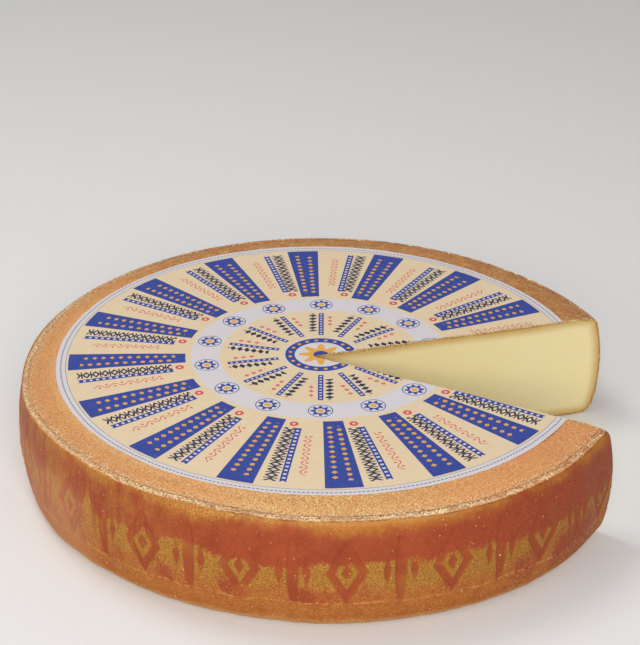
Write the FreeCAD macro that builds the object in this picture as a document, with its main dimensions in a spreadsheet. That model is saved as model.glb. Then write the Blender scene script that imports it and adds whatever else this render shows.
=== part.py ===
"""A wheel of hard cooked cheese with one wedge cut out, and the paper label that the cut runs through.

The frame: the origin is on the wheel's axis at its flat underside, +Z is up, and the gap left by the wedge
opens towards +X. Lengths are in millimetres and angles in degrees.
"""
import FreeCAD, Part
import math
import os

import Sketcher
from FreeCAD import Vector

SIZES = [
    # alias, value, what it is
    ("wheel_radius", 300.0, "radius of the wheel where its side bulges most"),
    ("wheel_height", 112.0, "from the underside to the flat of the top"),
    ("bulge_height", 60.0, "height at which the side stands out most"),
    ("side_curve", 185.0, "radius of the side's curve, seen in a cut through the axis"),
    ("rim_fall", 3.0, "how far the bare rind drops from the flat of the top to the top edge"),
    ("top_round", 7.0, "radius of the top edge"),
    ("bottom_round", 16.0, "radius of the bottom edge"),
    ("bare_rim", 42.0, "how much smaller than the wheel the label's radius is"),
    ("label_clearance", 8.0, "from the label to where the rind starts to drop"),
    ("label_thickness", 0.3, "thickness of the paper label"),
    ("label_left", 4.0, "how far the label sits off the axis, towards -X"),
    ("label_back", 4.0, "how far the label sits off the axis, towards +Y"),
    ("cut_past_axis", 12.0, "how far the point of the cut reaches past the axis, towards -X"),
    ("cut_point_back", 0.7, "how far the point of the cut sits off the axis, towards +Y"),
    ("cut_front_angle", 26.8, "turn of the front cut face from +X, towards -Y"),
    ("cut_back_angle", 17.5, "turn of the back cut face from +X, towards +Y"),
]
DERIVED = [
    # alias, formula, what it is
    ("label_radius", "=wheel_radius - bare_rim", "radius of the paper label"),
    ("label_off_axis", "=sqrt(label_left ^ 2 + label_back ^ 2)", "how far the label is off the axis"),
    ("flat_radius", "=label_radius + label_off_axis + label_clearance", "radius of the flat of the top"),
    ("edge_height", "=wheel_height - rim_fall", "height of the top edge before it is rounded"),
    ("side_centre", "=wheel_radius - side_curve", "distance of the side curve's centre from the axis"),
    ("cut_reach", "=2 * wheel_radius", "length of each side of the cutting triangle"),
]
TOLERANCE = 1e-4  # mm, or mm3 of volume
SKETCH_ORIGIN = (-1, 1)  # how a sketch names its own origin point

doc = FreeCAD.newDocument("cheese_wheel")


def make_sheet():
    """The spreadsheet of driving sizes, each cell with a word for its alias."""
    sheet = doc.addObject("Spreadsheet::Sheet", "Sizes")
    for row, (alias, value, meaning) in enumerate(SIZES + DERIVED, start=1):
        sheet.set(f"A{row}", meaning)
        sheet.set(f"B{row}", str(value))
        sheet.setAlias(f"B{row}", alias)
    doc.recompute()
    return sheet


def size(alias):
    """The value of one cell of the sheet."""
    return float(sheet.get(alias))


def origin_plane(body, role):
    """One of a body's own origin planes, found by its role."""
    return next(plane for plane in body.Origin.OriginFeatures if plane.Role == role)


def add_sketch(body, name, role):
    """An empty sketch on one of the body's origin planes."""
    sketch = body.newObject("Sketcher::SketchObject", name)
    sketch.AttachmentSupport = [(origin_plane(body, role), "")]
    sketch.MapMode = "FlatFace"
    return sketch


def drive(sketch, name, formula, kind, *points_and_value):
    """Adds a dimension to a sketch and binds it to a cell of the sheet."""
    index = sketch.addConstraint(Sketcher.Constraint(kind, *points_and_value))
    sketch.renameConstraint(index, name)
    sketch.setExpression(f"Constraints.{name}", formula)


def join(sketch, *ends):
    """Makes pairs of ends coincide: each entry is a line, its end, the other line and its end."""
    for one, one_end, other, other_end in ends:
        sketch.addConstraint(Sketcher.Constraint("Coincident", one, one_end, other, other_end))


def draw_profile(body):
    """Half of the wheel cut through its axis: flat underside, bulging side, falling rim and flat top."""
    sketch = add_sketch(body, "WheelProfile", "XZ_Plane")
    height, edge = size("wheel_height"), size("edge_height")
    centre = Vector(size("side_centre"), size("bulge_height"), 0)
    curve = size("side_curve")
    low = -math.asin(centre.y / curve)
    high = math.asin((edge - centre.y) / curve)
    foot = Vector(centre.x + curve * math.cos(low), 0, 0)
    brim = Vector(centre.x + curve * math.cos(high), edge, 0)
    flat = Vector(size("flat_radius"), height, 0)
    start, top = Vector(0, 0, 0), Vector(0, height, 0)
    circle = Part.Circle(centre, Vector(0, 0, 1), curve)
    underside = sketch.addGeometry(Part.LineSegment(start, foot), False)
    side = sketch.addGeometry(Part.ArcOfCircle(circle, low, high), False)
    rim = sketch.addGeometry(Part.LineSegment(brim, flat), False)
    face = sketch.addGeometry(Part.LineSegment(flat, top), False)
    axis = sketch.addGeometry(Part.LineSegment(top, start), False)
    join(sketch, (underside, 2, side, 1), (side, 2, rim, 1), (rim, 2, face, 1), (face, 2, axis, 1))
    join(sketch, (axis, 2, underside, 1), (underside, 1, *SKETCH_ORIGIN))
    sketch.addConstraint(Sketcher.Constraint("Horizontal", underside))
    sketch.addConstraint(Sketcher.Constraint("Horizontal", face))
    sketch.addConstraint(Sketcher.Constraint("Vertical", axis))
    drive(sketch, "Height", "Sizes.wheel_height", "DistanceY", underside, 1, axis, 1, height)
    drive(sketch, "Edge", "Sizes.edge_height", "DistanceY", underside, 1, side, 2, edge)
    drive(sketch, "Flat", "Sizes.flat_radius", "DistanceX", axis, 1, rim, 2, flat.x)
    drive(sketch, "Curve", "Sizes.side_curve", "Radius", side, curve)
    drive(sketch, "Bulge", "Sizes.bulge_height", "DistanceY", *SKETCH_ORIGIN, side, 3, centre.y)
    drive(sketch, "Centre", "Sizes.side_centre", "DistanceX", *SKETCH_ORIGIN, side, 3, centre.x)
    return sketch


def draw_cut(body, name):
    """The triangle of the wedge: its point just past the axis, its two long sides in the cut faces."""
    sketch = add_sketch(body, name, "XY_Plane")
    front, back = math.radians(size("cut_front_angle")), math.radians(size("cut_back_angle"))
    reach = size("cut_reach")
    point = Vector(-size("cut_past_axis"), size("cut_point_back"), 0)
    front_end = point + Vector(reach * math.cos(front), -reach * math.sin(front), 0)
    back_end = point + Vector(reach * math.cos(back), reach * math.sin(back), 0)
    front_face = sketch.addGeometry(Part.LineSegment(point, front_end), False)
    mouth = sketch.addGeometry(Part.LineSegment(front_end, back_end), False)
    back_face = sketch.addGeometry(Part.LineSegment(back_end, point), False)
    join(sketch, (front_face, 2, mouth, 1), (mouth, 2, back_face, 1), (back_face, 2, front_face, 1))
    drive(sketch, "PastAxis", "Sizes.cut_past_axis", "DistanceX", front_face, 1, *SKETCH_ORIGIN, -point.x)
    drive(sketch, "PointBack", "Sizes.cut_point_back", "DistanceY", *SKETCH_ORIGIN, front_face, 1, point.y)
    drive(sketch, "FrontReach", "Sizes.cut_reach", "Distance", front_face, reach)
    drive(sketch, "BackReach", "Sizes.cut_reach", "Distance", back_face, reach)
    drive(sketch, "Front", "-Sizes.cut_front_angle", "Angle", *SKETCH_ORIGIN, front_face, 1, -front)
    drive(sketch, "Back", "Sizes.cut_back_angle", "Angle", *SKETCH_ORIGIN, back_face, 2, back)
    return sketch


def cut_wedge(body, name):
    """Pockets the wedge out of a body, upwards from its sketch, and checks that it took material away."""
    whole = body.Shape.Volume
    pocket = body.newObject("PartDesign::Pocket", name)
    pocket.Profile = draw_cut(body, name + "Sketch")
    pocket.Type = "ThroughAll"
    pocket.Midplane = True
    doc.recompute()
    if not body.Shape.Volume < whole - TOLERANCE:
        raise RuntimeError(f"{name} took nothing away")


def circles_at(shape, height):
    """The names of a shape's round edges that lie wholly at one height and aren't on the axis."""
    found = []
    for index, edge in enumerate(shape.Edges, start=1):
        box = edge.BoundBox
        level = abs(box.ZMin - height) < TOLERANCE and abs(box.ZMax - height) < TOLERANCE
        if level and isinstance(edge.Curve, Part.Circle):
            found.append(f"Edge{index}")
    return found


def round_edge(body, name, height, alias):
    """Rounds the wheel's outer edge at one height by the radius in the sheet."""
    base = body.Tip
    fillet = body.newObject("PartDesign::Fillet", name)
    fillet.Base = (base, circles_at(base.Shape, height))
    fillet.setExpression("Radius", f"Sizes.{alias}")
    doc.recompute()


def make_wheel():
    """The cheese: one solid of paste and rind, turned from its profile, rounded, and cut by the wedge."""
    body = doc.addObject("PartDesign::Body", "Wheel")
    body.Label = "cheese"
    turned = body.newObject("PartDesign::Revolution", "WheelTurned")
    turned.Profile = draw_profile(body)
    turned.ReferenceAxis = (turned.Profile[0], ["V_Axis"])
    turned.Angle = 360
    doc.recompute()
    round_edge(body, "BottomEdge", 0.0, "bottom_round")
    round_edge(body, "TopEdge", size("edge_height"), "top_round")
    cut_wedge(body, "WheelCut")
    return body


def make_label():
    """The paper label: a thin disc that lies on the flat of the top, cut through by the same wedge."""
    body = doc.addObject("PartDesign::Body", "Label")
    body.Label = "label"
    sketch = add_sketch(body, "LabelOutline", "XY_Plane")
    centre = Vector(-size("label_left"), size("label_back"), 0)
    outline = Part.Circle(centre, Vector(0, 0, 1), size("label_radius"))
    disc = sketch.addGeometry(outline, False)
    drive(sketch, "Left", "Sizes.label_left", "DistanceX", disc, 3, *SKETCH_ORIGIN, -centre.x)
    drive(sketch, "Back", "Sizes.label_back", "DistanceY", *SKETCH_ORIGIN, disc, 3, centre.y)
    drive(sketch, "Radius", "Sizes.label_radius", "Radius", disc, size("label_radius"))
    paper = body.newObject("PartDesign::Pad", "LabelPaper")
    paper.Profile = sketch
    paper.setExpression("Length", "Sizes.label_thickness")
    doc.recompute()
    cut_wedge(body, "LabelCut")
    body.setExpression("Placement.Base.z", "Sizes.wheel_height")
    doc.recompute()
    return body


def check(bodies):
    """Stops if any object failed to compute or any piece isn't one valid solid."""
    for item in doc.Objects:
        if {"Invalid", "Error"} & set(item.State):
            raise RuntimeError(f"{item.Name} did not compute: {item.State}")
    for body in bodies:
        if body.Shape.isNull() or not body.Shape.isValid() or len(body.Shape.Solids) != 1:
            raise RuntimeError(f"{body.Label} is not one valid solid")


sheet = make_sheet()
pieces = [make_wheel(), make_label()]
doc.recompute()
check(pieces)
os.makedirs("parts", exist_ok=True)
for piece in pieces:
    piece.Shape.exportStep(f"parts/{piece.Label}.step")
    print(f"{piece.Label}: {piece.Shape.Volume:.0f} mm3")
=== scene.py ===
"""A wheel of hard cooked cheese with one wedge cut out and a printed paper label on its top.

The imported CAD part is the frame. Lengths are in metres: the origin is on the wheel's axis in its flat
underside, +Z is up, and the gap left by the wedge opens towards +X.
"""

import math

import bmesh
import bpy
import numpy as np
from bpy.props import FloatProperty, FloatVectorProperty, IntProperty, PointerProperty
from mathutils import Euler, Matrix, Vector


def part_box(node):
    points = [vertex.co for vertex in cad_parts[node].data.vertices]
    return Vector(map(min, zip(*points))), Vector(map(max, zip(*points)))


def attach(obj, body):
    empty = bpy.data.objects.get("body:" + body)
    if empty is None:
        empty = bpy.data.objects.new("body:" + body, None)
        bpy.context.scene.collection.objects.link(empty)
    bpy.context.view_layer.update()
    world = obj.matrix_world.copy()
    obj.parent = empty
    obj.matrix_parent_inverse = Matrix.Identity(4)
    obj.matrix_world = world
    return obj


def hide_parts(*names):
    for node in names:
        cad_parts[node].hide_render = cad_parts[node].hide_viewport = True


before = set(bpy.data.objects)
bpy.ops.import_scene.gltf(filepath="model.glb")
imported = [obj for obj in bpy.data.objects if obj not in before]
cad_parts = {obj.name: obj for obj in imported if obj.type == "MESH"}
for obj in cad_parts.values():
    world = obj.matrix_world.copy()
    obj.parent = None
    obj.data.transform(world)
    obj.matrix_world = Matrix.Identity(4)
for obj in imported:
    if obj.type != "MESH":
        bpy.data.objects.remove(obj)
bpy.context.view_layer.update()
CHEESE_LOW, CHEESE_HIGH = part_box("cheese")
LABEL_LOW, LABEL_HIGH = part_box("label")
WHEEL_RADIUS = (CHEESE_HIGH.y - CHEESE_LOW.y) / 2
WHEEL_HEIGHT = CHEESE_HIGH.z - CHEESE_LOW.z
LABEL_RADIUS = (LABEL_HIGH.y - LABEL_LOW.y) / 2

bl_info = {
    "name": "Cut cheese wheel",
    "version": (1, 0, 0),
    "blender": (4, 5, 0),
    "location": "3D View > Sidebar > Cheese",
    "description": "A wheel of hard cheese with a wedge cut out: its rind, paste and paper label",
    "category": "Add Mesh",
}

MM = 0.001
RIND_MAP = "rind_map"  # UV map in metres: u runs round the wheel, v down the section from the seam
CORE = 0.03  # radius inside which rays from the cut's point shrink in proportion
SHELL = 3.0 * MM  # thickness of the rind pieces, most of it inside the paste
RIND_BACK = 0.0004  # angle by which the rind's ends lie behind the cut faces
CRUMBS_BACK = 0.002  # angle by which loose crumbs keep clear of them
SEAM_CRUMBS, SIDE_GRAINS, CUT_CRUMBS = 4600, 900, 420  # how many are tried, the last at each cut
DEEPEST = 50 * MM  # depth in the paste past which its finish stays the same

# Numbers stored at the rind's points, which its finish reads.
STORED = ("off", "ledge", "skin", "bare", "worn", "left", "right", "brown")
GRAINIEST = 4.2  # direction, in radians, where the gold under the seam is grainiest
INK_EDGE = 0.25 * MM  # width over which print fades at its edge
PASTE_GLOW = (1.0, 0.7, 0.3)  # how far red, green and blue light go in the paste, as shares
PAPER_WARM = (0.90, 0.83, 0.66)  # warmer clouds of the paper, as a screen shows it, like the next three
PAPER_WORN = (0.93, 0.88, 0.80)
PAPER_GRIME = (0.50, 0.42, 0.36)
FLOOR_SHADE = (0.88, 0.88, 0.87)

LAMPS = (  # name, place, side of its square and power; each faces the wheel's middle
    ("key", (-0.9, 0.5, 2.3), 1.0, 16),
    ("fill", (-2.2, -1.6, 1.1), 1.2, 14),
    ("front", (0.2, -2.8, 1.6), 1.4, 60),
)
WORLD_STRENGTH = 0.40
FLOOR_HALF = 6.0
CAMERA_PLACE = (-0.004, -1.5307, 0.9205)
CAMERA_DOWN, CAMERA_TURN, CAMERA_ROLL = math.radians(26.733), math.radians(0.041), math.radians(0.428)
CAMERA_LENS, CAMERA_SENSOR = 99.31, 36  # in millimetres
CAMERA_REACH = 50


# ---- settings

def distance(name, default, description):
    return FloatProperty(
        name=name, description=description, default=default, subtype="DISTANCE", unit="LENGTH"
    )


def angle(name, degrees, description):
    return FloatProperty(
        name=name, description=description, default=math.radians(degrees), subtype="ANGLE", unit="ROTATION"
    )


def colour(name, red, green, blue, description):
    """A colour as a screen shows it, each part from 0 to 255."""
    default = (red / 255, green / 255, blue / 255)
    return FloatVectorProperty(
        name=name, description=description, default=default, subtype="COLOR_GAMMA", size=3, min=0, max=1
    )


class WheelSizes(bpy.types.PropertyGroup):
    """Shape of the wheel and of the gap that the wedge left"""

    radius: distance("Radius", WHEEL_RADIUS, "Radius where the side bulges most")
    height: distance("Height", WHEEL_HEIGHT, "From the underside to the flat of the top")
    bulge_height: distance("Bulge height", 60 * MM, "Height at which the side stands out most")
    side_curve: distance("Side curve", 185 * MM, "Radius of the side's curve in a cut through the axis")
    flat_radius: distance("Flat radius", 271.66 * MM, "Radius at which the top starts to fall to the rim")
    rim_fall: distance("Rim fall", 3 * MM, "Drop of the top between there and the top edge")
    top_round: distance("Top round", 7 * MM, "Radius of the top edge")
    bottom_round: distance("Bottom round", 16 * MM, "Radius of the bottom edge")
    seam_inset: distance("Seam inset", 12.4 * MM, "How far inside the radius the seam runs")
    cut_x: distance("Cut point X", -12 * MM, "Where the point of the cut is")
    cut_y: distance("Cut point Y", 0.7 * MM, "Where the point of the cut is")
    back_cut: angle("Back cut", 17.5, "Turn of the back cut face from +X towards +Y")
    front_cut: angle("Front cut", 26.8, "Turn of the front cut face from +X towards -Y")
    rind: distance("Rind", 1.1 * MM, "Thickness of the rind at a cut face")


class MarkSizes(bpy.types.PropertyGroup):
    """Row of plain marks pressed into the side"""

    pitch: distance("Pitch", 47 * MM, "From one mark to the next")
    middle: distance("Middle", 52 * MM, "From the seam down to the middle of the marks")
    height: distance("Height", 64 * MM, "Height of a mark")
    width: distance("Width", 37 * MM, "Width of a lozenge")
    stroke: distance("Stroke", 6.8 * MM, "Width of a lozenge's frame and of a spindle")
    depth: distance("Depth", 0.8 * MM, "How deep the marks are pressed")


class LabelSizes(bpy.types.PropertyGroup):
    """Paper label and the layout of its print"""

    radius: distance("Radius", LABEL_RADIUS, "Radius of the paper")
    centre_x: distance("Centre X", LABEL_LOW.x + LABEL_RADIUS, "Where the label's middle is")
    centre_y: distance("Centre Y", LABEL_LOW.y + LABEL_RADIUS, "Where the label's middle is")
    thickness: distance("Thickness", LABEL_HIGH.z - LABEL_LOW.z, "Thickness of the paper")
    outer_sectors: IntProperty(name="Outer sectors", default=16, description="Blue bars in the outer field")
    stars: IntProperty(name="Stars", default=14, description="Stars in the ring")
    inner_sectors: IntProperty(name="Inner sectors", default=14, description="Rays in the inner field")


class CheeseColours(bpy.types.PropertyGroup):
    """Colours of the rind, paste, label and floor"""

    top: colour("Top rind", 221, 169, 106, "Bare rim of the top")
    # Top rind light and dark: the grain's own paler and darker colour, and partly painted highlight on its
    # mounds and painted shade in its pits.
    top_light: colour("Top rind light", 252, 221, 160, "High grain of the top")
    top_dark: colour("Top rind dark", 182, 112, 62, "Pits of the top")
    top_warm: colour("Top rind warm", 228, 145, 88, "Orange patches of the top")
    skin: colour("Skin", 157, 68, 35, "Smooth red-brown skin of the side")
    # Skin dark is the skin's own darker patches, and also painted shade at the right end of the side and
    # round the pressed marks.
    skin_dark: colour("Skin dark", 138, 56, 29, "Darker patches of the skin")
    gold: colour("Gold", 174, 102, 36, "Golden rind under the seam")
    foot: colour("Foot", 172, 99, 38, "Orange-brown rind at the foot")
    olive: colour("Olive", 172, 118, 44, "Grainy rind between the marks")
    # Olive dark also gives painted shade at the right end of the side.
    olive_dark: colour("Olive dark", 138, 88, 34, "Pits between the marks")
    # Pale grains of the side, and also a painted highlight along the ledge below the marks.
    fleck_and_highlight: colour("Fleck", 222, 176, 102, "Pale grains on the side")
    seam: colour("Seam", 242, 218, 176, "Pale crumbs of the seam")
    # Seam gold is also the paler strip just under the seam, partly the rind's own colour and partly painted
    # highlight.
    seam_gold: colour("Seam gold", 208, 156, 90, "Golden crumbs of the seam")
    seam_band: colour("Seam band", 192, 146, 106, "Worn rind along the seam")
    seam_dark: colour("Seam dark", 122, 74, 44, "Gaps and lines of the seam")
    # Painted sheen: a pale pinkish highlight painted on the left end of the side, where light glances off it.
    painted_sheen: colour("Bloom", 220, 160, 120, "Pale dusty bloom at one end of the side")
    paste: colour("Paste", 230, 214, 164, "Cut face")
    paste_warm: colour("Paste warm", 229, 210, 155, "Deeper clouds of the cut face")
    paste_edge: colour("Paste edge", 196, 158, 88, "Cut face next to the rind")
    rind_edge: colour("Rind edge", 158, 112, 56, "Rind where it is cut through")
    paper: colour("Paper", 226, 202, 168, "Label's ground")
    paper_ring: colour("Paper ring", 214, 208, 210, "Label's rim and ring")
    blue: colour("Blue", 44, 66, 150, "Label's bars")
    navy: colour("Navy", 38, 44, 76, "Label's fine marks")
    ochre: colour("Ochre", 226, 168, 70, "Label's beads and petals")
    red: colour("Red", 214, 84, 70, "Label's sprigs and buds")
    floor: colour("Floor", 232, 231, 229, "Floor")


class CheeseSettings(bpy.types.PropertyGroup):
    """All settings of the cut wheel"""

    wheel: PointerProperty(type=WheelSizes)
    marks: PointerProperty(type=MarkSizes)
    label: PointerProperty(type=LabelSizes)
    colours: PointerProperty(type=CheeseColours)


# ---- random heights

def corner_values(corners, seed):
    """A number from -1 to 1 for each corner of a cubic lattice, the same in every run.

    The three counts of a corner are folded into one whole number, whose bits are then scrambled.
    """
    counts = corners.astype(np.int64).astype(np.uint32)
    folded = counts[..., 0] * np.uint32(2654435761) ^ counts[..., 1] * np.uint32(2246822519)
    folded = folded ^ counts[..., 2] * np.uint32(3266489917) ^ np.uint32(seed * 668265263 % 2**32)
    for shift, factor in ((15, 739982445), (12, 695872825), (15, 1)):
        folded = (folded ^ (folded >> np.uint32(shift))) * np.uint32(factor)
    return folded / 2.0**31 - 1


def rough(points, cell, seed, octaves=1):
    """Smooth random height, about -1 to 1, with bumps about one cell wide.

    Random numbers at the corners of a cubic lattice are blended with the weight w = f^3 (6 f^2 - 15 f + 10),
    f being the place inside the cell. Each further octave has half the cell and half the height.
    """
    height, total = 0.0, 0.0
    for octave in range(octaves):
        places = points * (2**octave / cell) + 31.7 * (seed + octave)
        corner = np.floor(places)
        f = places - corner
        weight = f**3 * (f * (f * 6 - 15) + 10)
        for step in np.ndindex(2, 2, 2):
            share = np.prod(np.where(step, weight, 1 - weight), axis=-1)
            height = height + share * corner_values(corner + step, seed + octave) / 2**octave
        total += 1 / 2**octave
    return 1.6 * height / total


def ramp(values, low, high):
    """Smooth step: 0 below low, 1 above high, and t^2 (3 - 2 t) between."""
    t = np.clip((values - low) / (high - low), 0, 1)
    return t * t * (3 - 2 * t)


# ---- shape of the wheel

def arc(centre, radius, start, end, count=40):
    """Points centre + radius (cos a, sin a) with a from start to end."""
    turn = np.linspace(start, end, count)
    return np.stack([centre[0] + radius * np.cos(turn), centre[1] + radius * np.sin(turn)], 1)


def run(start, end):
    """Points on the straight line from start to end."""
    return np.linspace(start, end, 60)


class Section:
    """Half section of the wheel as one line (r, z): along the top, over the rim, down the side, back under.

    A place on it is its length v along the line from the seam: below 0 on the top, above 0 on the side.
    The side is one arc; the rounds at its ends touch it and the straight lines next to them.
    """

    def __init__(self, wheel):
        side = np.array([wheel.radius - wheel.side_curve, wheel.bulge_height])
        flat = np.array([wheel.flat_radius, wheel.height])
        edge_z = wheel.height - wheel.rim_fall
        edge = np.array([side[0] + math.sqrt(wheel.side_curve**2 - (edge_z - side[1]) ** 2), edge_z])
        fall = (edge - flat) / np.linalg.norm(edge - flat)
        up = np.array([-fall[1], fall[0]])
        # Middle of the top round: top_round below the falling line and top_round inside the side's arc.
        start = flat - up * wheel.top_round - side
        reach = wheel.side_curve - wheel.top_round
        top = start + fall * (math.sqrt((start @ fall) ** 2 - start @ start + reach**2) - start @ fall) + side
        reach = wheel.side_curve - wheel.bottom_round
        low_z = wheel.bottom_round
        low = np.array([side[0] + math.sqrt(reach**2 - (side[1] - low_z) ** 2), low_z])
        top_turn = math.atan2(*(top - side)[::-1])
        low_turn = math.atan2(*(low - side)[::-1])
        line = np.concatenate([
            run((0, wheel.height), flat),
            run(flat, top + up * wheel.top_round),
            arc(top, wheel.top_round, math.atan2(*up[::-1]), top_turn),
            arc(side, wheel.side_curve, top_turn, low_turn, 120),
            arc(low, wheel.bottom_round, low_turn, -math.pi / 2),
            run((low[0], 0), (0, 0)),
        ])
        line = line[np.append(True, np.hypot(*np.diff(line, axis=0).T) > 1e-7)]
        length = np.append(0, np.cumsum(np.hypot(*np.diff(line, axis=0).T)))
        tangent = np.gradient(line, length, axis=0)
        tangent /= np.linalg.norm(tangent, axis=1)[:, None]
        widest = np.argmax(line[:, 0])
        self.v = length - np.interp(wheel.radius - wheel.seam_inset, line[:widest, 0], length[:widest])
        self.line, self.normal = line, np.stack([-tangent[:, 1], tangent[:, 0]], 1)
        self.foot = self.v[np.argmax(line[:, 1] < 1e-9)]  # where the underside's flat starts
        self.start, self.end = self.v[0], self.v[-1]

    def at(self, v, lift=0.0):
        """r and z at the lengths v, moved out by lift along the line's normal."""
        r, z, nr, nz = (np.interp(v, self.v, a) for a in (*self.line.T, *self.normal.T))
        return np.maximum(r + lift * nr, 0), z + lift * nz


def reach_of(wheel, turn, radius, centre=(0.0, 0.0)):
    """How far a ray from the cut's point A runs to a circle: t = -D.u + sqrt(R^2 - D.D + (D.u)^2).

    u is the ray's direction (cos turn, sin turn) and D runs from the circle's centre to A. Inside the core
    t shrinks in proportion to R, so that all rays start at A.
    """
    dx, dy = wheel.cut_x - centre[0], wheel.cut_y - centre[1]
    ahead = dx * np.cos(turn) + dy * np.sin(turn)
    ring = np.maximum(radius, CORE)
    return (np.sqrt(ring**2 - dx**2 - dy**2 + ahead**2) - ahead) * radius / ring


LOBES = (  # how the wheel is out of round: lobes, height in mm, direction of the first in degrees
    (1, 1.4, 107),
    (2, 0.9, 122),
    (3, 1.7, 79),
)
BULGES = (  # where the side stands out or lies in: height in mm, direction and half width in degrees
    (5.5, 17, 15),
    (1.8, -46, 15),
    (-1.8, 138, 20),
)
SEAM_DRIFT = (  # where the seam runs lower or higher: distance in mm, direction and half width in degrees
    (5.0, 198, 15),
    (-1.6, 246, 11),
    (1.8, 290, 10),
)
SHRINK = 0.9 * MM  # how much smaller the wheel is all round
SWELL = 0.7 * MM  # height of the broad swells of the top
SWELL_CELL = 150 * MM
# Directions, in degrees, of the middles of the left end, which has a painted sheen, the right end, which has
# more skin and painted shade, and the brown back.
LEFT_END, RIGHT_END, BROWN_BACK = 192, 322, 65
LEDGE = 85  # millimetres from the seam down to the ledge below the marks


def humps(around, table):
    """Sum of h exp((cos(a - m) - 1) / (1 - cos w)): smooth humps of height h about the directions m."""
    total = 0
    for height, middle, half in table:
        width = 1 - math.cos(math.radians(half))
        total = total + height * MM * np.exp((np.cos(around - math.radians(middle)) - 1) / width)
    return total


def lay(wheel, turn, reach, z):
    """Points A + t u of the wheel, bent a little as a hand-turned wheel is.

    t grows by the sum of h cos(n (a - a0)) over the lobes, and by the bulges, which are larger near the base:
    in full at the rim and with the sixth power of the radius inside it. z grows by a broad random swell, in
    full at the top and not at all at the base. Every ray stays in its own upright plane, so the cut faces
    stay flat.
    """
    ux, uy = np.cos(turn), np.sin(turn)
    x, y = wheel.cut_x + reach * ux, wheel.cut_y + reach * uy
    around = np.arctan2(y, x)
    bend = sum(h * MM * np.cos(lobes * (around - math.radians(first))) for lobes, h, first in LOBES) - SHRINK
    bend = bend + humps(around, BULGES) * (1.3 - 0.5 * z / wheel.height)
    grown = reach + bend * (np.hypot(x, y) / wheel.radius) ** 6
    flat = np.stack(np.broadcast_arrays(x, y, 0 * x), -1)
    swell = SWELL * rough(flat, SWELL_CELL, 3) * z / wheel.height
    return np.stack(np.broadcast_arrays(wheel.cut_x + grown * ux, wheel.cut_y + grown * uy, z + swell), -1)


def carry(wheel, turn, r, z):
    """The wheel's points at height z where the rays at turn meet the circle of radius r."""
    return lay(wheel, turn, reach_of(wheel, turn, r), z)


def cuts(wheel):
    """For each cut its direction, the side of it on which the cheese lies, and the way into the cheese."""
    for turn, side in ((wheel.back_cut, 1), (-wheel.front_cut, -1)):
        yield turn, side, np.array([-math.sin(turn), math.cos(turn), 0]) * side


def turns(wheel, count, back=0.0):
    """Directions from the back cut round to the front cut, each end set back by a small angle."""
    return np.linspace(wheel.back_cut + back, 2 * math.pi - wheel.front_cut - back, count)


def least(first, second):
    """The smaller of two arrays or Fields: (a + b - |a - b|) / 2."""
    return (first + second - abs(first - second)) / 2


def most(first, second):
    """The larger of two arrays or Fields: (a + b + |a - b|) / 2."""
    return (first + second + abs(first - second)) / 2


def pressed(marks, u, v):
    """Distance inside the outline of the nearest mark at u, v, below 0 outside, for arrays and for Fields.

    In a row one pitch apart stand lozenge frames with a small lozenge inside, |a|/w + |b|/h up to 1, and
    between them spindles, |a| < w (1.5 - 0.9 (b/h)^2), with a slim lozenge on each side; a and b are measured
    from the middle of the mark.
    """
    place = u / marks.pitch
    a = abs(place % 1.0 - 0.5) * marks.pitch
    b = abs(v - marks.middle)
    half_w, half_h, stroke = marks.width / 2, marks.height / 2, marks.stroke
    slope = 1 / math.hypot(1 / half_w, 1 / half_h)
    edge = (1 - a / half_w - b / half_h) * slope
    lozenge = most(least(edge, stroke - edge), edge - 0.76 * slope)
    share = b / half_h
    spindle = least((1.5 - 0.9 * share * share) * (0.5 * stroke) - a, half_h - b)
    slim = (1 - abs(a - 1.75 * stroke) / (0.5 * stroke) - b / (1.9 * stroke)) * (0.5 * stroke)
    between = (place * 0.5) % 1.0 > 0.5
    return lozenge * (1 - between) + most(spindle, slim) * between


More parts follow.
